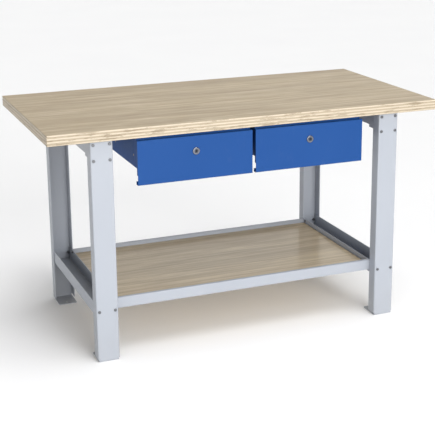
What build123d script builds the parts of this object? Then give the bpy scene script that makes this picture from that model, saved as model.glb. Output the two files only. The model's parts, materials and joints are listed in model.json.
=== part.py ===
"""Steel-framed workbench with two lockable drawers under a thick plywood top.

Frame: X along the bench, Y from front to back, Z up. The origin is on the floor, under the middle of the
worktop. Millimetres.
"""
from build123d import *
import os

os.makedirs("parts", exist_ok=True)

# Worktop
BENCH_LENGTH = 1500
BENCH_DEPTH = 750
BENCH_HEIGHT = 850
TOP_THICKNESS = 38
TOP_EDGE_ROUND = 1.5
TOP_UNDERSIDE = BENCH_HEIGHT - TOP_THICKNESS
TOP_SCREW_INSET = 110

# Frame: four legs folded from sheet, web outward, flanges towards the other leg of the side frame
LEG_SPAN = 1196
FRONT_OVERHANG = 23
REAR_OVERHANG = 43
LEG_WIDTH = 80
LEG_FLANGE = 44
LEG_SHEET = 3
SHEET_BEND = 1.5
FOOT_WIDTH = 72
FOOT_DEPTH = 92
FOOT_CORNER = 8
FOOT_FLANGE_GAP = 9
FLOOR_BOLT_HOLE = 12
FLOOR_BOLT_SETBACK = 75
LEG_X = (LEG_SPAN - LEG_WIDTH) / 2
LEG_FRONT_Y = -BENCH_DEPTH / 2 + FRONT_OVERHANG
LEG_REAR_Y = BENCH_DEPTH / 2 - REAR_OVERHANG

# Side rails, bolted through the leg webs
RAIL_WIDTH = LEG_WIDTH - 2 * LEG_SHEET - 1
RAIL_SHEET = 2.5
RAIL_FLANGE_SETBACK = 9
TAB_WIDTH = 70
UPPER_RAIL_DEPTH = 58
UPPER_TAB_DEPTH = 92
UPPER_GUSSET_DEPTH = 68
UPPER_GUSSET_REACH = 78
LOWER_RAIL_BOTTOM = 165
LOWER_RAIL_DEPTH = 50
LOWER_TAB_DEPTH = 48
UPPER_BOLT_HEIGHTS = (741, 797)
LOWER_BOLT_HEIGHT = 191
LEG_BOLT_SPREAD = 58

# Shelf
SHELF_RAIL_BOTTOM = 176
SHELF_RAIL_HEIGHT = 41
SHELF_RAIL_LIP = 12
SHELF_RAIL_LEDGE = 32
SHELF_SHEET = 2
SHELF_LEG_GAP = 2
SHELF_BOARD_THICKNESS = 20
SHELF_BOARD_END_GAP = 3
SHELF_BOARD_SIDE_GAP = 0.5
BOARD_TOP_CHAMFER = 0.8
BOARD_UNDER_CHAMFER = 3
BOARD_SCREW_SETBACK = 19.2
SHELF_TAB_BOLT_HEIGHT = 207

# Drawers
THIN_BEND = 1
DRAWER_PITCH = 443
FRONT_WIDTH = 430
FRONT_BOTTOM = 642
FRONT_TOP = 801
FRONT_FACE_Y = -BENCH_DEPTH / 2 + 5
FRONT_SHEET = 1.2
FRONT_RETURN = 10
LIP_DEPTH = 20
LIP_UPSTAND = 12
CASING_WIDTH = 424
CASING_SHEET = 1.5
CASING_BOTTOM = 698
CASING_FRONT_Y = FRONT_FACE_Y + 16
CASING_DEPTH = 560
CASING_RETURN = 14
CASING_LIP = 30
CASING_SCREW_SIDE_INSET = 40
CASING_SCREW_END_INSET = 50
CASING_BACK_Y = CASING_FRONT_Y + CASING_DEPTH
TRAY_BOTTOM = 704
TRAY_TOP = 778
TRAY_SHEET = 1.2
TRAY_BEND = 0.8
TRAY_HEM = 5
TRAY_BACK_Y = 170
TRAY_TAB = 16
STUD_INSET = 16
STUD_LENGTH = 7
DRAWER_TRAVEL = 380

# Ball slides, one pair for each drawer
SLIDE_DEPTH = 12.7
SLIDE_HEIGHT = 45
SLIDE_LENGTH = 500
SLIDE_SHEET = 1.2
SLIDE_BEND = 0.6
SLIDE_LIP_GAP = 0.5
SLIDE_RIVET_SHARES = (0.06, 0.5, 0.94)
SLIDE_CENTRE_Z = 741
SLIDE_FRONT_Y = CASING_FRONT_Y + 6
INNER_HEIGHT = 34
INNER_DEPTH = 8.7
BALL_DIAMETER = 3.6
BALL_HOLE = 4.3
BALL_PITCH = 22
BALLS_PER_ROW = 5
RACE_X = 8
RETAINER_SHEET = 0.8
RETAINER_BEND = 0.4
RETAINER_EDGE_GAP = 1.5
RETAINER_WEB_GAP = 2.2
RETAINER_END_GAP = 2
RETAINER_LENGTH = 116
TRAY_WIDTH = CASING_WIDTH - 2 * CASING_SHEET - 2 * SLIDE_DEPTH

# Locks
LOCK_HEIGHT = 746
LOCK_BARREL = 18
LOCK_BEZEL = 27
LOCK_BEZEL_DEPTH = 3.5
LOCK_BEZEL_ROUND = 2.1
LOCK_HOLE = 18.4
LOCK_NUT_ACROSS_FLATS = 24
LOCK_NUT_HEIGHT = 5
LOCK_NUT_BORE = 18.2
LOCK_LENGTH = 16
PLUG_DIAMETER = 13
PLUG_BORE = 13.1
PLUG_RECESS = 0.6
KEYWAY = (1.6, 12, 8.5)
CAM_LENGTH = 47
CAM_WIDTH = 14
CAM_SHEET = 2
CAM_STANDOFF = 3.6
CAM_TAIL = 7
CAM_HOLE = 7.1
CAM_TAIL_PROUD = 3
CAM_CLIP_DIAMETER = 13
CAM_CLIP_BORE = 10.1
CAM_CLIP_HEIGHT = 2

# Fasteners
LEG_BOLT = 6
LEG_BOLT_HOLE = 6.6
LEG_BOLT_HEAD = 11
LEG_BOLT_HEAD_HEIGHT = 3.3
LEG_BOLT_LENGTH = 18
HEX_SOCKET = 4
HEAD_ROUND_SHARE = 0.45
TIP_CHAMFER_SHARE = 0.12
SOCKET_DEPTH_SHARE = 0.6
NUT_ACROSS_FLATS = 10
NUT_HEIGHT = 5
SMALL_NUT_ACROSS_FLATS = 8
SMALL_NUT_HEIGHT = 4
STUD_NUT_ACROSS_FLATS = 7
STUD_NUT_HEIGHT = 3.2
THREAD_CLEARANCE = 0.1
WASHER_DIAMETER = 12
WASHER_HEIGHT = 1.6
WOOD_SCREW = 5
WOOD_SCREW_HOLE = 5.2
SCREW_PASSAGE = 5.6
WOOD_SCREW_LENGTH = 28
BOARD_SCREW_LENGTH = 16
SHELF_BOLT_LENGTH = 12
WOOD_SCREW_HEAD = 10
WOOD_SCREW_HEAD_HEIGHT = 3
RIVET = 4
RIVET_HOLE = 4.2
STUD_HOLE = 4.6
RIVET_PROUD = 0.6
RIVET_HEAD = 8
RIVET_HEAD_HEIGHT = 1


def save(part, name):
    """Label a finished piece and write its STEP file."""
    part.label = name
    export_step(part, "parts/" + name + ".step")


def folded(points, sheet, bend):
    """Closed outline of a sheet folded along the points, on the left of the path; bend is the inner radius."""
    with BuildSketch() as section:
        with BuildLine():
            FilletPolyline(*points, radius=bend)
            offset(amount=sheet, side=Side.LEFT)
        make_face()
    return section.sketch


def along_y(origin, flanges_up):
    """Plane across a side rail, extruding towards +Y, with its local y up or down."""
    return Plane(origin=origin, x_dir=(-1 if flanges_up else 1, 0, 0), z_dir=(0, 1, 0))


def side_view(x, y, inward=1):
    """Plane seen from the side: local x along Y (inward of +1 or -1) and local y up."""
    return Plane(origin=(x, y, 0), x_dir=(0, inward, 0), z_dir=(inward, 0, 0))


def facing(point, direction):
    """Plane at a point whose normal is the direction."""
    return Plane(origin=point, z_dir=direction)


def pan_head_screw(diameter, length, head, head_height, socket=0):
    """Screw along +Z: its shank starts at z = 0, and its head lies below."""
    with BuildPart() as screw:
        with BuildSketch(Plane.XY):
            Circle(head / 2)
        extrude(amount=-head_height)
        fillet(screw.faces().sort_by(Axis.Z)[0].edges(), head_height * HEAD_ROUND_SHARE)
        with BuildSketch(Plane.XY):
            Circle(diameter / 2)
        extrude(amount=length)
        chamfer(screw.faces().sort_by(Axis.Z)[-1].edges(), diameter * TIP_CHAMFER_SHARE)
        if socket:
            with BuildSketch(Plane.XY.offset(-head_height)):
                RegularPolygon(socket / 2, 6, major_radius=False)
            extrude(amount=head_height * SOCKET_DEPTH_SHARE, mode=Mode.SUBTRACT)
    return screw.part


def hex_nut(across_flats, height, bore):
    """Nut along +Z from z = 0."""
    with BuildPart() as nut:
        with BuildSketch(Plane.XY):
            RegularPolygon(across_flats / 2, 6, major_radius=False)
            Circle(bore / 2, mode=Mode.SUBTRACT)
        extrude(amount=height)
    return nut.part


def flat_ring(outer, inner, height):
    """Washer along +Z from z = 0."""
    with BuildPart() as ring:
        with BuildSketch(Plane.XY):
            Circle(outer / 2)
            Circle(inner / 2, mode=Mode.SUBTRACT)
        extrude(amount=height)
    return ring.part


def placed(piece, planes):
    """Copies of one fastener, one on each plane, as a group of separate solids."""
    with BuildPart() as group:
        for plane in planes:
            add(plane.location * piece)
    return group.part


# Worktop ---------------------------------------------------------------------------------------------------
top_screw_places = []
for side in (-1, 1):
    for y in (LEG_FRONT_Y + TOP_SCREW_INSET, (LEG_FRONT_Y + LEG_REAR_Y) / 2, LEG_REAR_Y - TOP_SCREW_INSET):
        top_screw_places.append((side * LEG_X, y, TOP_UNDERSIDE - RAIL_SHEET))
casing_screw_places = []
for side in (-1, 1):
    for end in (-1, 1):
        x = side * DRAWER_PITCH / 2 + end * (CASING_WIDTH / 2 - CASING_SCREW_SIDE_INSET)
        for y in (CASING_FRONT_Y + CASING_SCREW_END_INSET, CASING_BACK_Y - CASING_SCREW_END_INSET):
            casing_screw_places.append((x, y, TOP_UNDERSIDE - CASING_SHEET))

with BuildPart() as worktop:
    with BuildSketch(Plane.XY.offset(TOP_UNDERSIDE)):
        Rectangle(BENCH_LENGTH, BENCH_DEPTH)
    extrude(amount=TOP_THICKNESS)
    fillet(worktop.edges().filter_by(Axis.Z), TOP_EDGE_ROUND * 2)
    chamfer(worktop.faces().sort_by(Axis.Z)[-1].edges(), TOP_EDGE_ROUND)
    with Locations(*[(x, y, TOP_UNDERSIDE) for x, y, z in top_screw_places + casing_screw_places]):
        Cylinder(WOOD_SCREW_HOLE / 2, 2 * WOOD_SCREW_LENGTH, mode=Mode.SUBTRACT)
save(worktop.part, "worktop")


# Legs ------------------------------------------------------------------------------------------------------
leg_corners = {}
for end_name, y, inward in (("front", LEG_FRONT_Y, 1), ("rear", LEG_REAR_Y, -1)):
    for side_name, side in (("left", -1), ("right", 1)):
        leg_corners[end_name + "_" + side_name] = (side * LEG_X, y, inward)


def bolt_points(x, heights):
    """Bolt places in a leg web, on both sides of its middle."""
    return [(x + dx, z) for dx in (-LEG_BOLT_SPREAD / 2, LEG_BOLT_SPREAD / 2) for z in heights]


for name, (x, y, inward) in leg_corners.items():
    floor_plane = Plane(origin=(x, y, FOOT_FLANGE_GAP), x_dir=(inward, 0, 0), z_dir=(0, 0, 1))
    half = LEG_WIDTH / 2
    web_fold = folded([(half, LEG_FLANGE), (half, 0), (-half, 0), (-half, LEG_FLANGE)][::-1],
                      LEG_SHEET, LEG_SHEET + SHEET_BEND)
    foot_fold = folded([(0, TOP_UNDERSIDE / 2), (0, 0), (FOOT_DEPTH, 0)], LEG_SHEET, LEG_SHEET + SHEET_BEND)
    with BuildPart() as leg:
        with BuildSketch(floor_plane):
            add(web_fold)
        extrude(amount=TOP_UNDERSIDE - FOOT_FLANGE_GAP)
        with BuildSketch(side_view(x, y, inward)):
            add(foot_fold)
        extrude(amount=FOOT_WIDTH / 2, both=True)
        foot_end = leg.edges().filter_by(Axis.Z).sort_by(Axis.Y)
        fillet(foot_end[-2:] if inward > 0 else foot_end[:2], FOOT_CORNER)
        with Locations((x, y + inward * FLOOR_BOLT_SETBACK, 0)):
            Cylinder(FLOOR_BOLT_HOLE / 2, 4 * LEG_SHEET, mode=Mode.SUBTRACT)
        for px, pz in bolt_points(x, UPPER_BOLT_HEIGHTS + (LOWER_BOLT_HEIGHT,)):
            with Locations((px, y, pz)):
                Cylinder(LEG_BOLT_HOLE / 2, 4 * LEG_SHEET, rotation=(90, 0, 0), mode=Mode.SUBTRACT)
    save(leg.part, "leg_" + name)


# Side rails ------------------------------------------------------------------------------------------------
TAB_FRONT_Y = LEG_FRONT_Y + LEG_SHEET
TAB_REAR_Y = LEG_REAR_Y - LEG_SHEET
FLANGE_LENGTH = TAB_REAR_Y - TAB_FRONT_Y - 2 * RAIL_FLANGE_SETBACK


def side_rail(x, web_z, depth, tab_depth, flanges_up):
    """Channel between two legs: its web runs on into a bent tab against each leg web."""
    rise = 1 if flanges_up else -1
    half = RAIL_WIDTH / 2
    trough = [(-half, depth), (-half, 0), (half, 0), (half, depth)]
    channel = folded(trough, RAIL_SHEET, RAIL_SHEET + SHEET_BEND)
    tab_tip = web_z + rise * tab_depth
    ends = [(TAB_FRONT_Y, tab_tip), (TAB_FRONT_Y, web_z), (TAB_REAR_Y, web_z), (TAB_REAR_Y, tab_tip)]
    strap = folded(ends if flanges_up else ends[::-1], RAIL_SHEET, RAIL_SHEET + SHEET_BEND)
    with BuildPart() as rail:
        with BuildSketch(along_y((x, TAB_FRONT_Y + RAIL_FLANGE_SETBACK, web_z), flanges_up)):
            add(channel)
        extrude(amount=FLANGE_LENGTH)
        with BuildSketch(side_view(x, 0)):
            add(strap)
        extrude(amount=TAB_WIDTH / 2, both=True)
    return rail.part


for side_name, side in (("left", -1), ("right", 1)):
    x = side * LEG_X
    with BuildPart() as upper_rail:
        add(side_rail(x, TOP_UNDERSIDE, UPPER_RAIL_DEPTH, UPPER_TAB_DEPTH, False))
        for flange_x in (x - RAIL_WIDTH / 2, x + RAIL_WIDTH / 2 - RAIL_SHEET):
            with BuildSketch(side_view(flange_x, 0)):
                for y, align in ((TAB_FRONT_Y, Align.MIN), (TAB_REAR_Y, Align.MAX)):
                    step = RAIL_FLANGE_SETBACK if align == Align.MIN else -RAIL_FLANGE_SETBACK
                    with Locations((y + step, TOP_UNDERSIDE - SHEET_BEND - RAIL_SHEET)):
                        Rectangle(UPPER_GUSSET_REACH - RAIL_FLANGE_SETBACK,
                                  UPPER_GUSSET_DEPTH - SHEET_BEND - RAIL_SHEET, align=(align, Align.MAX))
            extrude(amount=RAIL_SHEET)
        for px, pz in bolt_points(x, UPPER_BOLT_HEIGHTS):
            with Locations((px, TAB_FRONT_Y, pz), (px, TAB_REAR_Y, pz)):
                Cylinder(LEG_BOLT_HOLE / 2, 4 * RAIL_SHEET, rotation=(90, 0, 0), mode=Mode.SUBTRACT)
        with Locations(*[place for place in top_screw_places if place[0] == x]):
            Cylinder(SCREW_PASSAGE / 2, 4 * RAIL_SHEET, mode=Mode.SUBTRACT)
    save(upper_rail.part, "upper_rail_" + side_name)

shelf_tab_places = []
for side in (-1, 1):
    inner_face = side * (LEG_X - RAIL_WIDTH / 2)
    for y in (LEG_FRONT_Y + LEG_FLANGE + SHELF_LEG_GAP + SHELF_RAIL_LEDGE / 2,
              LEG_REAR_Y - LEG_FLANGE - SHELF_LEG_GAP - SHELF_RAIL_LEDGE / 2):
        shelf_tab_places.append((inner_face, y, SHELF_TAB_BOLT_HEIGHT))

for side_name, side in (("left", -1), ("right", 1)):
    x = side * LEG_X
    with BuildPart() as lower_rail:
        add(side_rail(x, LOWER_RAIL_BOTTOM, LOWER_RAIL_DEPTH, LOWER_TAB_DEPTH, True))
        for px, pz in bolt_points(x, (LOWER_BOLT_HEIGHT,)):
            with Locations((px, TAB_FRONT_Y, pz), (px, TAB_REAR_Y, pz)):
                Cylinder(LEG_BOLT_HOLE / 2, 4 * RAIL_SHEET, rotation=(90, 0, 0), mode=Mode.SUBTRACT)
        with Locations(*[place for place in shelf_tab_places if place[0] * side > 0]):
            Cylinder(SCREW_PASSAGE / 2, 4 * RAIL_SHEET, rotation=(0, 90, 0), mode=Mode.SUBTRACT)
    save(lower_rail.part, "lower_rail_" + side_name)

# Shelf -----------------------------------------------------------------------------------------------------
SHELF_RAIL_LENGTH = 2 * (LEG_X - RAIL_WIDTH / 2)
SHELF_TOP = SHELF_RAIL_BOTTOM + SHELF_SHEET + SHELF_BOARD_THICKNESS
shelf_faces = {
    "front": (LEG_FRONT_Y + LEG_FLANGE + SHELF_LEG_GAP, 1),
    "rear": (LEG_REAR_Y - LEG_FLANGE - SHELF_LEG_GAP, -1),
}
board_screw_places = []
for face_y, inward in shelf_faces.values():
    for x in (-SHELF_RAIL_LENGTH / 3, 0, SHELF_RAIL_LENGTH / 3):
        board_screw_places.append((x, face_y + inward * BOARD_SCREW_SETBACK, SHELF_RAIL_BOTTOM))

for end_name, (face_y, inward) in shelf_faces.items():
    top = SHELF_RAIL_BOTTOM + SHELF_RAIL_HEIGHT
    outline = [(SHELF_RAIL_LIP, top), (0, top), (0, SHELF_RAIL_BOTTOM), (SHELF_RAIL_LEDGE, SHELF_RAIL_BOTTOM)]
    with BuildPart() as shelf_rail:
        with BuildSketch(side_view(0, face_y, inward)):
            add(folded(outline, SHELF_SHEET, SHELF_SHEET + SHEET_BEND))
        extrude(amount=SHELF_RAIL_LENGTH / 2, both=True)
        for end in (-1, 1):
            tab_x = end * (SHELF_RAIL_LENGTH - SHELF_SHEET) / 2
            with BuildSketch(Plane.YZ.offset(tab_x - SHELF_SHEET / 2)):
                with Locations((face_y + inward * (SHELF_RAIL_LEDGE + SHELF_SHEET) / 2,
                                SHELF_RAIL_BOTTOM + SHELF_RAIL_HEIGHT / 2)):
                    Rectangle(SHELF_RAIL_LEDGE - SHELF_SHEET, SHELF_RAIL_HEIGHT - 2 * SHELF_SHEET)
            extrude(amount=SHELF_SHEET)
        with Locations(*shelf_tab_places):
            Cylinder(SCREW_PASSAGE / 2, 4 * SHELF_SHEET, rotation=(0, 90, 0), mode=Mode.SUBTRACT)
        with Locations(*board_screw_places):
            Cylinder(SCREW_PASSAGE / 2, 4 * SHELF_SHEET, mode=Mode.SUBTRACT)
    save(shelf_rail.part, "shelf_rail_" + end_name)

board_front = shelf_faces["front"][0] + SHELF_SHEET + SHELF_BOARD_SIDE_GAP
board_rear = shelf_faces["rear"][0] - SHELF_SHEET - SHELF_BOARD_SIDE_GAP
with BuildPart() as shelf_board:
    with BuildSketch(Plane.XY.offset(SHELF_RAIL_BOTTOM + SHELF_SHEET)):
        with Locations((0, (board_front + board_rear) / 2)):
            Rectangle(SHELF_RAIL_LENGTH - 2 * SHELF_BOARD_END_GAP, board_rear - board_front)
    extrude(amount=SHELF_BOARD_THICKNESS)
    chamfer(shelf_board.faces().sort_by(Axis.Z)[0].edges(), BOARD_UNDER_CHAMFER)
    chamfer(shelf_board.faces().sort_by(Axis.Z)[-1].edges(), BOARD_TOP_CHAMFER)
    with Locations(*board_screw_places):
        Cylinder(WOOD_SCREW_HOLE / 2, 2 * BOARD_SCREW_LENGTH, mode=Mode.SUBTRACT)
save(shelf_board.part, "shelf_board")

# Frame fasteners -------------------------------------------------------------------------------------------
leg_bolt_planes = []
leg_washer_planes = []
leg_nut_planes = []
for x, y, inward in leg_corners.values():
    for px, pz in bolt_points(x, UPPER_BOLT_HEIGHTS + (LOWER_BOLT_HEIGHT,)):
        through = LEG_SHEET + RAIL_SHEET
        leg_bolt_planes.append(facing((px, y, pz), (0, inward, 0)))
        leg_washer_planes.append(facing((px, y + inward * through, pz), (0, inward, 0)))
        leg_nut_planes.append(facing((px, y + inward * (through + WASHER_HEIGHT), pz), (0, inward, 0)))
leg_bolt = pan_head_screw(LEG_BOLT, LEG_BOLT_LENGTH, LEG_BOLT_HEAD, LEG_BOLT_HEAD_HEIGHT, HEX_SOCKET)
save(placed(leg_bolt, leg_bolt_planes), "leg_bolts")
leg_washer = flat_ring(WASHER_DIAMETER, LEG_BOLT_HOLE, WASHER_HEIGHT)
save(placed(leg_washer, leg_washer_planes), "leg_washers")
leg_nut = hex_nut(NUT_ACROSS_FLATS, NUT_HEIGHT, LEG_BOLT + THREAD_CLEARANCE)
save(placed(leg_nut, leg_nut_planes), "leg_nuts")

wood_screw = pan_head_screw(WOOD_SCREW, WOOD_SCREW_LENGTH, WOOD_SCREW_HEAD, WOOD_SCREW_HEAD_HEIGHT)
save(placed(wood_screw, [facing(place, (0, 0, 1)) for place in top_screw_places]), "worktop_screws")
board_screw = pan_head_screw(WOOD_SCREW, BOARD_SCREW_LENGTH, WOOD_SCREW_HEAD, WOOD_SCREW_HEAD_HEIGHT)
save(placed(board_screw, [facing(place, (0, 0, 1)) for place in board_screw_places]), "shelf_board_screws")

shelf_bolt_planes = []
shelf_nut_planes = []
for x, y, z in shelf_tab_places:
    outward = 1 if x > 0 else -1
    shelf_bolt_planes.append(facing((x - outward * SHELF_SHEET, y, z), (outward, 0, 0)))
    shelf_nut_planes.append(facing((x + outward * RAIL_SHEET, y, z), (outward, 0, 0)))
shelf_bolt = pan_head_screw(WOOD_SCREW, SHELF_BOLT_LENGTH, WOOD_SCREW_HEAD, WOOD_SCREW_HEAD_HEIGHT)
save(placed(shelf_bolt, shelf_bolt_planes), "shelf_rail_bolts")
shelf_nut = hex_nut(SMALL_NUT_ACROSS_FLATS, SMALL_NUT_HEIGHT, WOOD_SCREW + THREAD_CLEARANCE)
save(placed(shelf_nut, shelf_nut_planes), "shelf_rail_nuts")

# Drawers ---------------------------------------------------------------------------------------------------
slide_rivet_ys = [SLIDE_FRONT_Y + SLIDE_LENGTH * share for share in SLIDE_RIVET_SHARES]
front_stud_places = [(dx, z) for dx in (-1, 1) for z in (TRAY_BOTTOM + STUD_INSET, TRAY_TOP - STUD_INSET)]
FRONT_INSIDE_Y = FRONT_FACE_Y + FRONT_SHEET
CASING_HALF = CASING_WIDTH / 2
TRAY_HALF = TRAY_WIDTH / 2


def drawer_casing(x):
    """Inverted sheet-steel box under the worktop, open at the front, with a lip that the lock cam catches."""
    path = [(CASING_HALF - CASING_RETURN, CASING_BOTTOM), (CASING_HALF, CASING_BOTTOM),
            (CASING_HALF, TOP_UNDERSIDE), (-CASING_HALF, TOP_UNDERSIDE),
            (-CASING_HALF, CASING_BOTTOM), (-CASING_HALF + CASING_RETURN, CASING_BOTTOM)]
    back_height = TOP_UNDERSIDE - CASING_BOTTOM
    with BuildPart() as casing:
        with BuildSketch(Plane(origin=(x, CASING_BACK_Y, 0), x_dir=(1, 0, 0), z_dir=(0, -1, 0))):
            add(folded(path, CASING_SHEET, CASING_SHEET + THIN_BEND))
        extrude(amount=CASING_DEPTH)
        for y, height in ((CASING_FRONT_Y, CASING_LIP), (CASING_BACK_Y - CASING_SHEET, back_height)):
            with Locations((x, y, TOP_UNDERSIDE - CASING_SHEET / 2)):
                Box(CASING_WIDTH - 2 * CASING_SHEET, CASING_SHEET, height - CASING_SHEET / 2,
                    align=(Align.CENTER, Align.MIN, Align.MAX))
        with Locations(*casing_screw_places):
            Cylinder(SCREW_PASSAGE / 2, 4 * CASING_SHEET, mode=Mode.SUBTRACT)
        for y in slide_rivet_ys:
            with Locations((x, y, SLIDE_CENTRE_Z)):
                Cylinder(RIVET_HOLE / 2, 2 * CASING_WIDTH, rotation=(0, 90, 0), mode=Mode.SUBTRACT)
    return casing.part


def slide_member(wall_x, toward, half_height, depth, front_y):
    """Channel of a ball slide: web on the wall at wall_x, flanges pointing toward +1 or -1 along X."""
    outline = [(depth, half_height), (0, half_height), (0, -half_height), (depth, -half_height)]
    start = (wall_x, front_y, SLIDE_CENTRE_Z)
    section_plane = Plane(origin=start, x_dir=(toward, 0, 0), z_dir=(0, -toward, 0))
    with BuildPart() as member:
        with BuildSketch(section_plane):
            add(folded(outline, SLIDE_SHEET, SLIDE_SHEET + SLIDE_BEND))
        extrude(amount=-toward * SLIDE_LENGTH)
        for y in slide_rivet_ys:
            with Locations((wall_x, y, SLIDE_CENTRE_Z)):
                Cylinder(RIVET_HOLE / 2, 4 * SLIDE_SHEET, rotation=(0, 90, 0), mode=Mode.SUBTRACT)
    return member.part


RACE_HEIGHT = (SLIDE_HEIGHT / 2 - SLIDE_SHEET + INNER_HEIGHT / 2) / 2
RETAINER_FRONT_Y = SLIDE_FRONT_Y + DRAWER_TRAVEL / 2 + RETAINER_END_GAP
ball_ys = [RETAINER_FRONT_Y + RETAINER_LENGTH / 2 + (i - (BALLS_PER_ROW - 1) / 2) * BALL_PITCH
           for i in range(BALLS_PER_ROW)]


def ball_retainers(x):
    """Both slides' ball cages with their balls, which roll between the outer and inner members."""
    with BuildPart() as retainers:
        for side in (-1, 1):
            wall_x = x + side * (CASING_HALF - CASING_SHEET)
            half = RACE_HEIGHT + RETAINER_SHEET / 2
            flange_x = SLIDE_DEPTH - RETAINER_EDGE_GAP
            outline = [(flange_x, half), (RETAINER_WEB_GAP, half),
                       (RETAINER_WEB_GAP, -half), (flange_x, -half)]
            section_plane = Plane(origin=(wall_x, RETAINER_FRONT_Y, SLIDE_CENTRE_Z),
                                  x_dir=(-side, 0, 0), z_dir=(0, side, 0))
            with BuildSketch(section_plane):
                add(folded(outline, RETAINER_SHEET, RETAINER_SHEET + RETAINER_BEND))
            extrude(amount=side * RETAINER_LENGTH)
            centres = [(wall_x - side * RACE_X, y, SLIDE_CENTRE_Z + rise * RACE_HEIGHT)
                       for y in ball_ys for rise in (-1, 1)]
            with Locations(*centres):
                Cylinder(BALL_HOLE / 2, 4 * RETAINER_SHEET, mode=Mode.SUBTRACT)
            with Locations(*centres):
                Sphere(BALL_DIAMETER / 2)
    return retainers.part


def drawer_tray(x):
    """Folded tray of the drawer, open on top and at the front, where two tabs meet the front plate."""
    path = [(-TRAY_HALF + TRAY_HEM, TRAY_TOP), (-TRAY_HALF, TRAY_TOP), (-TRAY_HALF, TRAY_BOTTOM),
            (TRAY_HALF, TRAY_BOTTOM), (TRAY_HALF, TRAY_TOP), (TRAY_HALF - TRAY_HEM, TRAY_TOP)]
    length = TRAY_BACK_Y - FRONT_INSIDE_Y
    with BuildPart() as tray:
        with BuildSketch(Plane(origin=(x, TRAY_BACK_Y, 0), x_dir=(1, 0, 0), z_dir=(0, -1, 0))):
            add(folded(path, TRAY_SHEET, TRAY_SHEET + TRAY_BEND))
        extrude(amount=length)
        with Locations((x, TRAY_BACK_Y, TRAY_BOTTOM + TRAY_SHEET / 2)):
            Box(TRAY_WIDTH - TRAY_SHEET, TRAY_SHEET, TRAY_TOP - TRAY_BOTTOM - TRAY_SHEET / 2,
                align=(Align.CENTER, Align.MAX, Align.MIN))
        for side in (-1, 1):
            tab_edge = x + side * (TRAY_HALF - TRAY_SHEET / 2)
            with Locations((tab_edge, FRONT_INSIDE_Y, TRAY_BOTTOM + TRAY_SHEET / 2)):
                Box(TRAY_TAB, TRAY_SHEET, TRAY_TOP - TRAY_BOTTOM - TRAY_SHEET,
                    align=(Align.MAX if side > 0 else Align.MIN, Align.MIN, Align.MIN))
            for y in slide_rivet_ys:
                with Locations((x + side * TRAY_HALF, y, SLIDE_CENTRE_Z)):
                    Cylinder(RIVET_HOLE / 2, 4 * TRAY_SHEET, rotation=(0, 90, 0), mode=Mode.SUBTRACT)
        for side, z in front_stud_places:
            with Locations((x + side * (TRAY_HALF - TRAY_TAB / 2), FRONT_INSIDE_Y, z)):
                Cylinder(STUD_HOLE / 2, 4 * TRAY_SHEET, rotation=(90, 0, 0), mode=Mode.SUBTRACT)
    return tray.part


def drawer_front(x):
    """Front plate with folded sides and top, a curled finger lip below, and welded studs behind."""
    lip = FRONT_BOTTOM + LIP_UPSTAND
    outline = [(FRONT_RETURN, FRONT_TOP), (0, FRONT_TOP), (0, FRONT_BOTTOM), (LIP_DEPTH, FRONT_BOTTOM),
               (LIP_DEPTH, lip)]
    with BuildPart() as front:
        with BuildSketch(side_view(x, FRONT_FACE_Y)):
            add(folded(outline, FRONT_SHEET, FRONT_SHEET + THIN_BEND))
        extrude(amount=FRONT_WIDTH / 2, both=True)
        for side in (-1, 1):
            corner = (x + side * FRONT_WIDTH / 2, FRONT_FACE_Y + FRONT_SHEET / 2, FRONT_TOP - FRONT_SHEET / 2)
            with Locations(corner):
                Box(FRONT_SHEET, FRONT_RETURN - FRONT_SHEET / 2, FRONT_TOP - lip - 2 * LIP_UPSTAND,
                    align=(Align.MAX if side > 0 else Align.MIN, Align.MIN, Align.MAX))
        for side, z in front_stud_places:
            with BuildSketch(facing((x + side * (TRAY_HALF - TRAY_TAB / 2), FRONT_INSIDE_Y, z), (0, 1, 0))):
                Circle(RIVET / 2)
            extrude(amount=STUD_LENGTH)
        with Locations((x, FRONT_FACE_Y, LOCK_HEIGHT)):
            Cylinder(LOCK_HOLE / 2, 4 * FRONT_SHEET, rotation=(90, 0, 0), mode=Mode.SUBTRACT)
    return front.part


def lock_barrel(x):
    """Fixed part of the cam lock: a bezel in front, a threaded barrel behind, bored for the plug."""
    with BuildPart() as barrel:
        with BuildSketch(facing((x, FRONT_FACE_Y, LOCK_HEIGHT), (0, -1, 0))):
            Circle(LOCK_BEZEL / 2)
        extrude(amount=LOCK_BEZEL_DEPTH)
        fillet(barrel.faces().sort_by(Axis.Y)[0].edges(), LOCK_BEZEL_ROUND)
        with BuildSketch(facing((x, FRONT_FACE_Y, LOCK_HEIGHT), (0, 1, 0))):
            Circle(LOCK_BARREL / 2)
        extrude(amount=LOCK_LENGTH)
        with Locations((x, FRONT_FACE_Y, LOCK_HEIGHT)):
            Cylinder(PLUG_BORE / 2, 4 * LOCK_LENGTH, rotation=(90, 0, 0), mode=Mode.SUBTRACT)
    return barrel.part


CAM_FRONT_Y = FRONT_FACE_Y + LOCK_LENGTH + CAM_STANDOFF


def lock_plug(x):
    """Turning cylinder with the keyway in front and a square tail behind for the cam."""
    with BuildPart() as plug:
        with BuildSketch(facing((x, FRONT_FACE_Y - LOCK_BEZEL_DEPTH + PLUG_RECESS, LOCK_HEIGHT), (0, 1, 0))):
            Circle(PLUG_DIAMETER / 2)
        extrude(amount=LOCK_LENGTH + LOCK_BEZEL_DEPTH)
        tail_start = plug.faces().sort_by(Axis.Y)[-1].center().Y
        with BuildSketch(facing((x, tail_start, LOCK_HEIGHT), (0, 1, 0))):
            Rectangle(CAM_TAIL, CAM_TAIL)
        extrude(amount=CAM_FRONT_Y + CAM_SHEET + CAM_TAIL_PROUD - tail_start)
        with Locations((x, FRONT_FACE_Y - LOCK_BEZEL_DEPTH, LOCK_HEIGHT)):
            Box(*KEYWAY, mode=Mode.SUBTRACT)
    return plug.part


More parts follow.
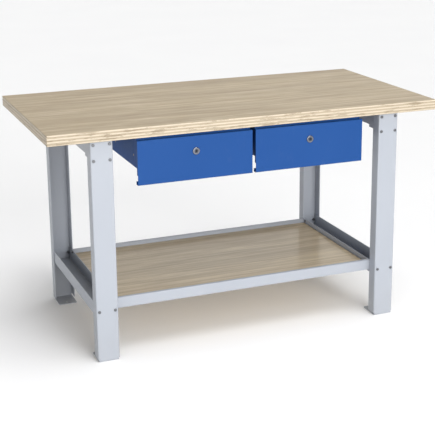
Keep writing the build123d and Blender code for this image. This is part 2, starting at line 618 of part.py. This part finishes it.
def lock_cam(x):
    """Flat cam on the plug's tail, pointing sideways when unlocked."""
    with BuildPart() as cam:
        with BuildSketch(Plane(origin=(x, CAM_FRONT_Y, LOCK_HEIGHT), x_dir=(1, 0, 0), z_dir=(0, -1, 0))):
            with Locations((CAM_LENGTH / 2 - CAM_WIDTH / 4, 0)):
                SlotOverall(CAM_LENGTH + CAM_WIDTH / 2, CAM_WIDTH)
            Rectangle(CAM_HOLE, CAM_HOLE, mode=Mode.SUBTRACT)
        extrude(amount=-CAM_SHEET)
    return cam.part


for drawer_name, side in (("left", -1), ("right", 1)):
    x = side * DRAWER_PITCH / 2
    wall = CASING_HALF - CASING_SHEET
    save(drawer_casing(x), drawer_name + "_casing")
    for slide_name, slide_side in (("left", -1), ("right", 1)):
        wall_x = x + slide_side * wall
        tray_x = x + slide_side * TRAY_HALF
        outer = slide_member(wall_x, -slide_side, SLIDE_HEIGHT / 2, SLIDE_DEPTH - SLIDE_LIP_GAP, SLIDE_FRONT_Y)
        inner = slide_member(tray_x, slide_side, INNER_HEIGHT / 2, INNER_DEPTH, SLIDE_FRONT_Y)
        save(outer, drawer_name + "_slide_outer_" + slide_name)
        save(inner, drawer_name + "_slide_inner_" + slide_name)
    save(ball_retainers(x), drawer_name + "_ball_retainers")
    save(drawer_tray(x), drawer_name + "_drawer_tray")
    save(drawer_front(x), drawer_name + "_drawer_front")
    save(lock_barrel(x), drawer_name + "_lock_barrel")
    save(lock_plug(x), drawer_name + "_lock_plug")
    save(lock_cam(x), drawer_name + "_lock_cam")

    lock_nut_plane = facing((x, FRONT_INSIDE_Y, LOCK_HEIGHT), (0, 1, 0))
    lock_nut = hex_nut(LOCK_NUT_ACROSS_FLATS, LOCK_NUT_HEIGHT, LOCK_NUT_BORE)
    save(placed(lock_nut, [lock_nut_plane]), drawer_name + "_lock_nut")
    stud_nut_planes = [facing((x + s * (TRAY_HALF - TRAY_TAB / 2), FRONT_INSIDE_Y + TRAY_SHEET, z), (0, 1, 0))
                       for s, z in front_stud_places]
    stud_nut = hex_nut(STUD_NUT_ACROSS_FLATS, STUD_NUT_HEIGHT, RIVET + THREAD_CLEARANCE)
    save(placed(stud_nut, stud_nut_planes), drawer_name + "_front_nuts")
    cam_clip_plane = facing((x, CAM_FRONT_Y + CAM_SHEET, LOCK_HEIGHT), (0, 1, 0))
    cam_clip = flat_ring(CAM_CLIP_DIAMETER, CAM_CLIP_BORE, CAM_CLIP_HEIGHT)
    save(placed(cam_clip, [cam_clip_plane]), drawer_name + "_cam_clip")

    casing_grip = CASING_SHEET + SLIDE_SHEET + RIVET_PROUD
    tray_grip = TRAY_SHEET + SLIDE_SHEET + RIVET_PROUD
    casing_rivet = pan_head_screw(RIVET, casing_grip, RIVET_HEAD, RIVET_HEAD_HEIGHT)
    tray_rivet = pan_head_screw(RIVET, tray_grip, RIVET_HEAD, RIVET_HEAD_HEIGHT)
    casing_rivet_planes = []
    tray_rivet_planes = []
    for s in (-1, 1):
        for y in slide_rivet_ys:
            casing_rivet_planes.append(facing((x + s * CASING_HALF, y, SLIDE_CENTRE_Z), (-s, 0, 0)))
            tray_rivet_planes.append(facing((x + s * (TRAY_HALF - TRAY_SHEET), y, SLIDE_CENTRE_Z), (s, 0, 0)))
    save(placed(casing_rivet, casing_rivet_planes), drawer_name + "_casing_rivets")
    save(placed(tray_rivet, tray_rivet_planes), drawer_name + "_tray_rivets")
    own_screws = [facing(place, (0, 0, 1)) for place in casing_screw_places if place[0] * side > 0]
    save(placed(wood_screw, own_screws), drawer_name + "_casing_screws")
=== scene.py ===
"""The workbench as it looks: materials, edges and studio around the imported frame."""
import json
import math
import random
from typing import NamedTuple

import bpy
import bmesh
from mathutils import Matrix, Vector


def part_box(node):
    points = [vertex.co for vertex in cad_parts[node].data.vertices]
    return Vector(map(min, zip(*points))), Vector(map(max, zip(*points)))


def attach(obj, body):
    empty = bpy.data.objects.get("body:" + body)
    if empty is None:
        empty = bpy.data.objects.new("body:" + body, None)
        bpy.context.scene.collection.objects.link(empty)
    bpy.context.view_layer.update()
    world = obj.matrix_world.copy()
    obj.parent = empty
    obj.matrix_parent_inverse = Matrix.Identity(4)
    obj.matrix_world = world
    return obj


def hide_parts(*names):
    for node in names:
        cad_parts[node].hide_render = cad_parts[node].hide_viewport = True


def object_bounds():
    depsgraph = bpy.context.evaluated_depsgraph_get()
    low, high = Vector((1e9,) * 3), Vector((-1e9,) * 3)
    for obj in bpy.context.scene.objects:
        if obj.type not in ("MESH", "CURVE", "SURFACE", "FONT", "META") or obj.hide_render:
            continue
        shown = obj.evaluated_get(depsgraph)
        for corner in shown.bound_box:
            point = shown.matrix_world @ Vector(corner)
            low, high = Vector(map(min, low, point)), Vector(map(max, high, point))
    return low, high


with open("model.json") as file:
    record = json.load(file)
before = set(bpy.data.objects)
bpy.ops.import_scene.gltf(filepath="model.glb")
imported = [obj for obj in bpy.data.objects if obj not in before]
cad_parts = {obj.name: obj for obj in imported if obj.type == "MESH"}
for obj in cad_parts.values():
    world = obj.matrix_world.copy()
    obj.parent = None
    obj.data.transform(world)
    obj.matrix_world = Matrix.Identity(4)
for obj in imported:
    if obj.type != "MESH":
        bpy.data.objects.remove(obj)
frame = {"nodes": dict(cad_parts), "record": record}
nodes = frame["nodes"]
cad_low, cad_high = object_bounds()
cad_low, cad_high = list(cad_low), list(cad_high)


# Shader helpers --------------------------------------------------------------------------------------
class Pattern(NamedTuple):
    """Blender's noise settings; stretch scales the object coordinates along X, Y and Z first."""
    scale: float
    detail: float = 3.0
    roughness: float = 0.55
    distortion: float = 0.0
    stretch: tuple = None


class Shader:
    """A procedural material under construction; node() adds a node, link() joins sockets."""

    def __init__(self, name):
        self.material = bpy.data.materials.new(name)
        self.material.use_nodes = True
        self.tree = self.material.node_tree
        self.bsdf = self.tree.nodes["Principled BSDF"]
        self.place = self.node("ShaderNodeTexCoord").outputs["Object"]

    def node(self, kind, **values):
        made = self.tree.nodes.new(kind)
        for key, value in values.items():
            setattr(made, key, value)
        return made

    def link(self, source, target):
        self.tree.links.new(source, target)

    def feed(self, value, socket):
        """Links a socket, or sets a plain number or colour."""
        if hasattr(value, "links"):
            self.link(value, socket)
        else:
            socket.default_value = (*value, 1) if isinstance(value, tuple) else value

    def noise(self, pattern):
        """The pattern in object coordinates."""
        made = self.node("ShaderNodeTexNoise")
        made.inputs["Scale"].default_value = pattern.scale
        made.inputs["Detail"].default_value = pattern.detail
        made.inputs["Roughness"].default_value = pattern.roughness
        made.inputs["Distortion"].default_value = pattern.distortion
        vector = self.place
        if pattern.stretch is not None:
            mapping = self.node("ShaderNodeMapping")
            mapping.inputs["Scale"].default_value = pattern.stretch
            self.link(vector, mapping.inputs["Vector"])
            vector = mapping.outputs["Vector"]
        self.link(vector, made.inputs["Vector"])
        return made.outputs["Fac"]

    def mix(self, factor, first, second):
        """Mix of two colours; factor, first and second are sockets or plain values."""
        made = self.node("ShaderNodeMix", data_type="RGBA")
        # the node has a socket set for each data type: 6 and 7 are its two colours, output 2 their mix
        for value, socket in ((factor, 0), (first, 6), (second, 7)):
            self.feed(value, made.inputs[socket])
        return made.outputs[2]

    def math(self, operation, first, second=0.0):
        made = self.node("ShaderNodeMath", operation=operation)
        self.feed(first, made.inputs[0])
        self.feed(second, made.inputs[1])
        return made.outputs[0]

    def spread(self, factor, low, high, start=0.0, end=1.0):
        """Maps start..end to low..high, and holds the ends."""
        made = self.node("ShaderNodeMapRange")
        made.inputs["From Min"].default_value = start
        made.inputs["From Max"].default_value = end
        made.inputs["To Min"].default_value = low
        made.inputs["To Max"].default_value = high
        self.link(factor, made.inputs["Value"])
        return made.outputs["Result"]

    def axes(self, vector):
        """The X, Y and Z outputs of a vector."""
        made = self.node("ShaderNodeSeparateXYZ")
        self.link(vector, made.inputs[0])
        return made.outputs

    def bump(self, height, strength, distance, under=None):
        """A surface normal from a height; distance is in metres."""
        made = self.node("ShaderNodeBump")
        made.inputs["Strength"].default_value = strength
        made.inputs["Distance"].default_value = distance
        self.link(height, made.inputs["Height"])
        if under is not None:
            self.link(under, made.inputs["Normal"])
        return made.outputs["Normal"]


def toned(colour, times, plus=0.0):
    """The colour multiplied, then lifted by the same amount in each channel."""
    return tuple(channel * times + plus for channel in colour)


# Painted and bare steel ------------------------------------------------------------------------------
# each pattern, and how it is spread(): _MIX, _ROUGHER and _SHIFT give the low and the high end, and
# _BETWEEN the part of the pattern that is spread; _TONE holds what toned() multiplies by and adds
TONE_DRIFT = Pattern(3.5, 2.0)
SPECKS = Pattern(900.0, 2.0)
SPECK_MIX = (0.0, 0.35)
SPECK_TONE = (1.06, 0.004)
RUBBED_PATCHES = Pattern(34.0, 6.0, 0.7, stretch=(1.0, 1.0, 0.4))
RUBBED_MIX, RUBBED_BETWEEN = (0.0, 0.16), (0.58, 0.74)
RUBBED_TONE = (0.85, 0.045)
RUBBED_ROUGHER, ROUGHER_BETWEEN = (0.0, 0.18), (0.55, 0.75)
DUST = (0.300, 0.270, 0.230)
DUST_CLOUDS = Pattern(24.0, 5.0, 0.65)
DUST_MIX = (0.16, 0.0)
DUST_TOP = 0.20  # metres above the floor
SHEEN_PATCHES = Pattern(60.0)
SHEEN_SHIFT = (-0.05, 0.07)
ORANGE_PEEL = Pattern(420.0, 2.0, 0.6)
PEEL_STRENGTH, PEEL_DISTANCE = 0.12, 0.0004

STEEL_PATCHES = Pattern(55.0)
STEEL_DARKER = 0.82
STREAK_SCALE = 600.0
STREAK_SHARE = (0.7, 1.4)  # of the steel's own roughness
STREAK_STRENGTH, STREAK_DISTANCE = 0.08, 0.0002


def powder_coat(name, colour, shade, roughness, gloss):
    """Satin powder coat: tone drift, specks, rubbed patches, dust near the floor and orange peel."""
    s = Shader(name)
    base = s.mix(s.noise(TONE_DRIFT), shade, colour)
    speckled = s.mix(s.spread(s.noise(SPECKS), *SPECK_MIX), base, toned(colour, *SPECK_TONE))
    rubbed = s.noise(RUBBED_PATCHES)
    scuff = s.spread(rubbed, *RUBBED_MIX, *RUBBED_BETWEEN)
    scuffed = s.mix(scuff, speckled, toned(colour, *RUBBED_TONE))
    near_floor = s.spread(s.axes(s.place)["Z"], *DUST_MIX, 0.0, DUST_TOP)
    dusty = s.math("MULTIPLY", near_floor, s.noise(DUST_CLOUDS))
    s.link(s.mix(dusty, scuffed, DUST), s.bsdf.inputs["Base Color"])
    smoother, rougher = (roughness + shift for shift in SHEEN_SHIFT)
    uneven = s.spread(s.noise(SHEEN_PATCHES), smoother, rougher)
    worn = s.spread(rubbed, *RUBBED_ROUGHER, *ROUGHER_BETWEEN)
    s.link(s.math("ADD", uneven, worn), s.bsdf.inputs["Roughness"])
    peel = s.bump(s.noise(ORANGE_PEEL), PEEL_STRENGTH, PEEL_DISTANCE)
    s.link(peel, s.bsdf.inputs["Normal"])
    s.bsdf.inputs["Specular IOR Level"].default_value = gloss
    return s.material


def metal(name, colour, roughness, streak=(1, 1, 1)):
    """Bare or plated steel with fine streaks and patchy tone."""
    s = Shader(name)
    patchy = s.mix(s.noise(STEEL_PATCHES), toned(colour, STEEL_DARKER), colour)
    s.link(patchy, s.bsdf.inputs["Base Color"])
    fine = s.noise(Pattern(STREAK_SCALE, stretch=streak))
    smoother, rougher = (roughness * share for share in STREAK_SHARE)
    s.link(s.spread(fine, smoother, rougher), s.bsdf.inputs["Roughness"])
    s.link(s.bump(fine, STREAK_STRENGTH, STREAK_DISTANCE), s.bsdf.inputs["Normal"])
    s.bsdf.inputs["Metallic"].default_value = 1.0
    return s.material


# Plywood ---------------------------------------------------------------------------------------------
# the patterns of the face, then of the cut edges; a _MIX past 0 or 1 sharpens its pattern
STRIP_STAGGER = 1.9
PIECES_PER_METRE = 0.9
STRIP_MIX = (0.0, 0.6)
CLOUDS = Pattern(1.2, 3.0, 0.55, 0.8, (2.2, 5.5, 5.5))
CLOUD_MIX = (-1.2, 1.9)
CLOUD_TONE = 1.10
FIGURE = Pattern(1.5, 3.0, 0.5, 1.3, (1.2, 8.5, 8.5))
FIGURE_RINGS = 9.0
RING_HEIGHT = 0.5
RING_MIX = (-0.1, 0.9)
BANDS = Pattern(1.6, 5.0, 0.62, 0.7, (1.1, 24.0, 24.0))
BAND_MIX = (-1.25, 1.85)
STREAKS = Pattern(1.5, 4.0, 0.7, 0.4, (2.6, 58.0, 58.0))
STREAK_MIX = (-1.2, 1.65)
STREAK_TONE = 1.15
FIBRE = Pattern(2.2, 4.0, 0.7, 0.25, (5.0, 190.0, 190.0))
FIBRE_MIX = (-0.55, 0.85)
FIBRE_TONE = 0.80
PORES = Pattern(1.5, 2.0, 0.5, 0.0, (14.0, 900.0, 900.0))
PORE_MIX = (-0.3, 0.3)
PORE_TONE = 0.55
PORE_STRENGTH, PORE_DISTANCE = 0.12, 0.0003

EDGE_WOOD_PALE = (0.590, 0.515, 0.405)
EDGE_WOOD_WARM = (0.455, 0.378, 0.275)
PLY_WAVE = Pattern(9.0, 2.0)
PLY_WAVE_SHIFT = (-0.10, 0.10)  # of a ply's thickness
GLUE_START = 0.43  # of a ply's thickness, from its middle
GLUE_BREAKS = Pattern(1.0, 3.0, 0.6, 0.0, (14.0, 14.0, 60.0))
GLUE_MIX = (-0.35, 0.75)
GLUE_TONE = 0.40
END_FIBRE = Pattern(1.6, 3.0, 0.65, 0.0, (420.0, 420.0, 260.0))
END_FIBRE_MIX = (-0.1, 1.0)
END_FIBRE_TONE = 0.70
LONG_FIBRE = Pattern(1.4, 4.0, 0.65, 0.3, (22.0, 22.0, 900.0))
LONG_FIBRE_MIX = (-0.2, 0.7)
STAINS = Pattern(1.6, 5.0, 0.72, 0.0, (9.0, 9.0, 90.0))
STAIN_START = 0.56
STAIN_MIX = (0.15, 0.95)
STAIN_TONE = 0.70
END_FACING = 0.7  # least X of the normal on the boards' short ends
FACE_FACING = 0.6  # least Z of the normal on their top and bottom
PLY_STRENGTH, PLY_DISTANCE = 0.30, 0.0005

WEAR = Pattern(7.0, 4.0)
WEAR_ROUGHER = 0.30
WOOD_GLOSS = 0.22
VARNISH_ROUGHNESS = 0.14


def strip_tone(s, axes, strip_width):
    """One random number for each veneer piece: strips across Y, cut at staggered places along X."""
    strip = s.math("FLOOR", s.math("MULTIPLY", axes["Y"], 1 / strip_width))
    stagger = s.node("ShaderNodeTexWhiteNoise", noise_dimensions="1D")
    s.link(strip, stagger.inputs["W"])
    offset = s.math("MULTIPLY", stagger.outputs["Value"], STRIP_STAGGER)
    piece = s.math("FLOOR", s.math("MULTIPLY", s.math("ADD", axes["X"], offset), PIECES_PER_METRE))
    cell = s.node("ShaderNodeCombineXYZ")
    s.link(strip, cell.inputs[0])
    s.link(piece, cell.inputs[1])
    tone = s.node("ShaderNodeTexWhiteNoise", noise_dimensions="3D")
    s.link(cell.outputs[0], tone.inputs["Vector"])
    return tone.outputs["Value"]


def plywood(name, pale, warm, dark, strip_width, board_low, ply_thickness, roughness, varnish):
    """Face veneer with grain along X in butted strips, and alternating plies on the cut edges."""
    s = Shader(name)
    axes = s.axes(s.place)
    fibre, pores = s.noise(FIBRE), s.noise(PORES)

    # the face: a cloudy ground, then flame figure, soft bands, streaks, fibres and pores along the grain
    clouded = s.mix(s.spread(s.noise(CLOUDS), *CLOUD_MIX), toned(pale, CLOUD_TONE), warm)
    base = s.mix(s.spread(strip_tone(s, axes, strip_width), *STRIP_MIX), clouded, warm)
    rings = s.math("PINGPONG", s.math("MULTIPLY", s.noise(FIGURE), FIGURE_RINGS), RING_HEIGHT)
    figured = s.mix(s.spread(rings, *RING_MIX), base, warm)
    banded = s.mix(s.spread(s.noise(BANDS), *BAND_MIX), figured, dark)
    streaked = s.mix(s.spread(s.noise(STREAKS), *STREAK_MIX), banded, toned(dark, STREAK_TONE))
    fibred = s.mix(s.spread(fibre, *FIBRE_MIX), streaked, toned(warm, FIBRE_TONE))
    face = s.mix(s.spread(pores, *PORE_MIX), fibred, toned(dark, PORE_TONE))

    # the cut edges: each ply shows long grain or end grain in turn
    above = s.math("MULTIPLY", s.math("SUBTRACT", axes["Z"], board_low), 1 / ply_thickness)
    height = s.math("ADD", above, s.spread(s.noise(PLY_WAVE), *PLY_WAVE_SHIFT))
    turn = s.math("MODULO", s.math("FLOOR", height), 2.0)
    within = s.math("FRACT", height)
    facing = s.axes(s.node("ShaderNodeNewGeometry").outputs["Normal"])
    on_end = s.math("GREATER_THAN", s.math("ABSOLUTE", facing["X"]), END_FACING)
    grain_turned = s.math("ABSOLUTE", s.math("SUBTRACT", turn, on_end))
    end_fibre, long_fibre = s.noise(END_FIBRE), s.noise(LONG_FIBRE)
    long_ply = s.mix(s.spread(long_fibre, *LONG_FIBRE_MIX), EDGE_WOOD_PALE, EDGE_WOOD_WARM)
    end_wood = toned(EDGE_WOOD_WARM, END_FIBRE_TONE)
    end_ply = s.mix(s.spread(end_fibre, *END_FIBRE_MIX), EDGE_WOOD_WARM, end_wood)
    plies = s.mix(grain_turned, long_ply, end_ply)

    # a thin, broken, dark glue line between plies, and stains along them
    from_middle = s.math("ABSOLUTE", s.math("SUBTRACT", within, 0.5))
    glue = s.math("GREATER_THAN", from_middle, GLUE_START)
    broken_glue = s.math("MULTIPLY", glue, s.spread(s.noise(GLUE_BREAKS), *GLUE_MIX))
    glued = s.mix(broken_glue, plies, toned(dark, GLUE_TONE))
    stain = s.math("GREATER_THAN", s.noise(STAINS), STAIN_START)
    stained = s.math("MULTIPLY", stain, s.spread(long_fibre, *STAIN_MIX))
    edge = s.mix(stained, glued, toned(dark, STAIN_TONE))

    on_face = s.math("GREATER_THAN", s.math("ABSOLUTE", facing["Z"]), FACE_FACING)
    s.link(s.mix(on_face, edge, face), s.bsdf.inputs["Base Color"])
    wear = s.math("MULTIPLY", fibre, s.noise(WEAR))
    s.link(s.spread(wear, roughness, roughness + WEAR_ROUGHER), s.bsdf.inputs["Roughness"])
    relief = s.mix(on_face, s.mix(0.5, end_fibre, within), fibre)
    coarse = s.bump(relief, PLY_STRENGTH, PLY_DISTANCE)
    s.link(s.bump(pores, PORE_STRENGTH, PORE_DISTANCE, coarse), s.bsdf.inputs["Normal"])
    s.bsdf.inputs["Specular IOR Level"].default_value = WOOD_GLOSS
    s.bsdf.inputs["Coat Weight"].default_value = varnish
    s.bsdf.inputs["Coat Roughness"].default_value = VARNISH_ROUGHNESS
    return s.material


top_low, top_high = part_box("worktop")
shelf_low, shelf_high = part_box("shelf_board")
TOP_PLIES = 7
SHELF_PLIES = 7

materials = {
    "worktop_plywood": plywood(
        "worktop_plywood",
        pale=(0.545, 0.455, 0.318), warm=(0.450, 0.362, 0.235), dark=(0.262, 0.196, 0.118),
        strip_width=0.125, board_low=top_low.z,
        ply_thickness=(top_high.z - top_low.z) / TOP_PLIES,
        roughness=0.40, varnish=0.05),
    "shelf_plywood": plywood(
        "shelf_plywood",
        pale=(0.720, 0.600, 0.400), warm=(0.615, 0.490, 0.310), dark=(0.370, 0.275, 0.165),
        strip_width=0.170, board_low=shelf_low.z,
        ply_thickness=(shelf_high.z - shelf_low.z) / SHELF_PLIES,
        roughness=0.30, varnish=0.32),
    "grey_powder_coat": powder_coat(
        "grey_powder_coat", colour=(0.360, 0.382, 0.422), shade=(0.325, 0.347, 0.387),
        roughness=0.42, gloss=0.40),
    "blue_powder_coat": powder_coat(
        "blue_powder_coat", colour=(0.016, 0.068, 0.234), shade=(0.012, 0.057, 0.206),
        roughness=0.44, gloss=0.08),
    # the lock's chrome is made much darker than bright chrome: a painted dark reflection in place of what
    # the bezel reflects
    "lock_chrome": metal("lock_chrome", (0.20, 0.21, 0.25), roughness=0.15, streak=(1, 1, 6)),
    # the lock plug's face is a near-black copy of the same metal: painted shade in the centre of the lock
    "lock_plug_painted_shade": metal("lock_plug_painted_shade", (0.065, 0.070, 0.085), roughness=0.30, streak=(1, 1, 6)),
    "slide_steel": metal("slide_steel", (0.56, 0.57, 0.59), roughness=0.30, streak=(0.05, 1, 1)),
    "zinc_fasteners": metal("zinc_fasteners", (0.20, 0.205, 0.215), roughness=0.34),
}


# Edges and boards ------------------------------------------------------------------------------------
# the width of each slot's softened edges, in metres
EDGE = {
    "worktop_plywood": 0.0012,
    "shelf_plywood": 0.0008,
    "grey_powder_coat": 0.0004,
    "blue_powder_coat": 0.0004,
    "lock_chrome": 0.0003,
}
MERGE_DISTANCE = 1e-6
EDGE_ANGLE = math.radians(35)
EDGE_SEGMENTS = 2
CORNER_STEPS = 6
SMALLEST_CORNER = 0.0002
EVEN_PLY_DIVISOR = 3  # every other ply stands in by up to a third of what its neighbours may
TOP_ROUND_DROP, TOP_ROUND_INSET = 0.35, 0.3  # middle of the top edge's round, in shares of edge_round


def soften(shown, width):
    """Joins the node's split vertices and rounds its sharp edges."""
    weld = shown.modifiers.new("weld", "WELD")
    weld.merge_threshold = MERGE_DISTANCE
    bevel = shown.modifiers.new("edge", "BEVEL")
    bevel.width = width
    bevel.segments = EDGE_SEGMENTS
    bevel.limit_method = "ANGLE"
    bevel.angle_limit = EDGE_ANGLE
    bevel.harden_normals = True


def outline(low, high, inset, corner):
    """Points round a rectangle with rounded corners, moved inwards by inset."""
    points = []
    radius = max(corner - inset, SMALLEST_CORNER)
    reach = inset + radius
    centres = (
        (high.x - reach, high.y - reach), (low.x + reach, high.y - reach),
        (low.x + reach, low.y + reach), (high.x - reach, low.y + reach))
    for turn, (x, y) in enumerate(centres):
        for step in range(CORNER_STEPS + 1):
            angle = math.pi / 2 * (turn + step / CORNER_STEPS)
            points.append((x + radius * math.cos(angle), y + radius * math.sin(angle)))
    return points


def board_profile(low, high, plies, edge_round, relief, seed):
    """Height and inset of each ring of the board, from its bottom to its top."""
    rng = random.Random(seed)
    thickness = (high.z - low.z) / plies
    groove = relief / 2
    steps = [(low.z, edge_round), (low.z + edge_round, 0.0)]
    for ply in range(plies):
        inset = rng.uniform(0.0, relief) if ply % 2 else rng.uniform(0.0, relief / EVEN_PLY_DIVISOR)
        floor_z = max(low.z + ply * thickness, low.z + edge_round)
        roof_z = min(low.z + (ply + 1) * thickness, high.z - edge_round)
        steps += [(floor_z + groove, inset), (roof_z - groove, inset)]
        if ply < plies - 1:
            steps.append((roof_z, inset + relief))
    middle = (high.z - edge_round * TOP_ROUND_DROP, edge_round * TOP_ROUND_INSET)
    return steps + [(high.z - edge_round, 0.0), middle, (high.z, edge_round)]


def layered_board(name, node, slot, plies, corner, edge_round, relief, seed):
    """Board whose plies stand in from its edges by differing amounts, in place of the plain CAD board."""
    low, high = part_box(node)
    mesh = bmesh.new()
    rings = []
    for z, inset in board_profile(low, high, plies, edge_round, relief, seed):
        rings.append([mesh.verts.new((x, y, z)) for x, y in outline(low, high, inset, corner)])
    for under, over in zip(rings, rings[1:]):
        for i in range(len(under)):
            j = (i + 1) % len(under)
            mesh.faces.new((under[i], under[j], over[j], over[i]))
    mesh.faces.new(reversed(rings[0]))
    mesh.faces.new(rings[-1])
    bmesh.ops.remove_doubles(mesh, verts=mesh.verts, dist=MERGE_DISTANCE)
    bmesh.ops.recalc_face_normals(mesh, faces=mesh.faces)
    data = bpy.data.meshes.new(name)
    mesh.to_mesh(data)
    mesh.free()
    data.materials.append(materials[slot])
    board = bpy.data.objects.new(name, data)
    bpy.context.collection.objects.link(board)
    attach(board, "root")
    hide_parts(node)


for subpart in frame["record"]["subparts"]:
    name, slot = subpart["node"], subpart["material_slot"]
    shown = nodes[name]
    shown.data.materials.clear()
    # lock plugs take the near-black metal, which paints shade into the centre of each lock
    shown.data.materials.append(materials["lock_plug_painted_shade" if name.endswith("_lock_plug") else slot])
    if slot in EDGE:
        soften(shown, EDGE[slot])

layered_board(
    "worktop_layers", "worktop", "worktop_plywood", TOP_PLIES,
    corner=0.003, edge_round=0.0015, relief=0.00035, seed=5)
layered_board(
    "shelf_layers", "shelf_board", "shelf_plywood", SHELF_PLIES,
    corner=0.0015, edge_round=0.0010, relief=0.00030, seed=6)


# Studio ----------------------------------------------------------------------------------------------
HORIZON_TOP = 0.20  # Z of the view direction where the world starts to dim
ZENITH_BOTTOM = 0.42  # and where it stops
ZENITH_LEVEL = 0.20
FLOOR_REACH = 30.0
FLOOR_CELLS = 12
FLOOR_PATCHES = Pattern(1.3, 2.0)
FLOOR_DARKER, FLOOR_LIGHTER = (0.90, 0.90, 0.905), (0.93, 0.93, 0.93)


def add_light(name, data, back, place=(0, 0, 0)):
    """Adds a light at place; back is the direction from what it lights back to the light."""
    lamp = bpy.data.objects.new(name, data)
    lamp.location = place
    lamp.rotation_euler = back.to_track_quat("Z", "Y").to_euler()
    bpy.context.collection.objects.link(lamp)


def sun(name, heading, height, energy, softness):
    """A broad soft light from far away: heading turns from the front towards the right, in degrees."""
    data = bpy.data.lights.new(name, "SUN")
    data.energy = energy
    data.angle = math.radians(softness)
    turn, rise = math.radians(heading), math.radians(height)
    level = math.cos(rise)
    add_light(name, data, Vector((math.sin(turn) * level, -math.cos(turn) * level, math.sin(rise))))


def softbox(name, place, aim, size, power):
    """A square soft light at place, facing aim."""
    data = bpy.data.lights.new(name, "AREA")
    data.shape = "SQUARE"
    data.size = size
    data.energy = power
    add_light(name, data, Vector(place) - Vector(aim), place)


def studio_world():
    """White near the horizon and dimmer overhead: the floor has no visible end and the fill stays low."""
    world = bpy.data.worlds.new("studio")
    world.use_nodes = True
    tree = world.node_tree
    place = tree.nodes.new("ShaderNodeTexCoord")
    axes = tree.nodes.new("ShaderNodeSeparateXYZ")
    fade = tree.nodes.new("ShaderNodeMapRange")
    fade.interpolation_type = "SMOOTHSTEP"
    fade.inputs["From Min"].default_value = HORIZON_TOP
    fade.inputs["From Max"].default_value = ZENITH_BOTTOM
    fade.inputs["To Min"].default_value = 1.0
    fade.inputs["To Max"].default_value = ZENITH_LEVEL
    tree.links.new(place.outputs["Generated"], axes.inputs[0])
    tree.links.new(axes.outputs["Z"], fade.inputs["Value"])
    tree.links.new(fade.outputs["Result"], tree.nodes["Background"].inputs["Color"])
    bpy.context.scene.world = world


def studio_floor():
    """A wide, pale, matt floor."""
    mesh = bmesh.new()
    bmesh.ops.create_grid(mesh, x_segments=FLOOR_CELLS, y_segments=FLOOR_CELLS, size=FLOOR_REACH)
    data = bpy.data.meshes.new("studio_floor")
    mesh.to_mesh(data)
    mesh.free()
    floor = bpy.data.objects.new("studio_floor", data)
    bpy.context.collection.objects.link(floor)
    s = Shader("studio_floor")
    patchy = s.mix(s.noise(FLOOR_PATCHES), FLOOR_DARKER, FLOOR_LIGHTER)
    s.link(patchy, s.bsdf.inputs["Base Color"])
    s.bsdf.inputs["Roughness"].default_value = 0.95
    s.bsdf.inputs["Specular IOR Level"].default_value = 0.1
    data.materials.append(s.material)


sun("key", heading=8, height=17, energy=0.95, softness=30)
sun("overhead", heading=40, height=74, energy=1.85, softness=50)
sun("rear_fill", heading=140, height=30, energy=0.35, softness=60)
sun("left_fill", heading=-70, height=24, energy=0.28, softness=60)
softbox("high_softbox", place=(0.35, -3.1, 2.2), aim=(0, -0.3, 0.5), size=1.6, power=29)
softbox("low_softbox", place=(-0.5, -4.4, 0.85), aim=(0, 0, 0.5), size=1.3, power=52)
studio_world()
studio_floor()
bpy.context.scene.view_settings.view_transform = "Standard"

# the photograph's camera: front left, a little above the top. It is fitted to the photo's edges in a
# 435 x 435 picture with the optical centre held at pixel (235, 170), which keeps the shift small
camera_data = bpy.data.cameras.new("camera")
camera_data.sensor_width = 36.0
camera_data.lens = 92.242
camera_data.shift_x = -0.0402
camera_data.shift_y = -0.1092
camera_data.clip_end = 100.0
camera = bpy.data.objects.new("camera", camera_data)
camera.location = (-1.5341, -3.9269, 1.6927)
camera.rotation_euler = (1.30851, 0.00566, -0.39080)
bpy.context.collection.objects.link(camera)
bpy.context.scene.camera = camera
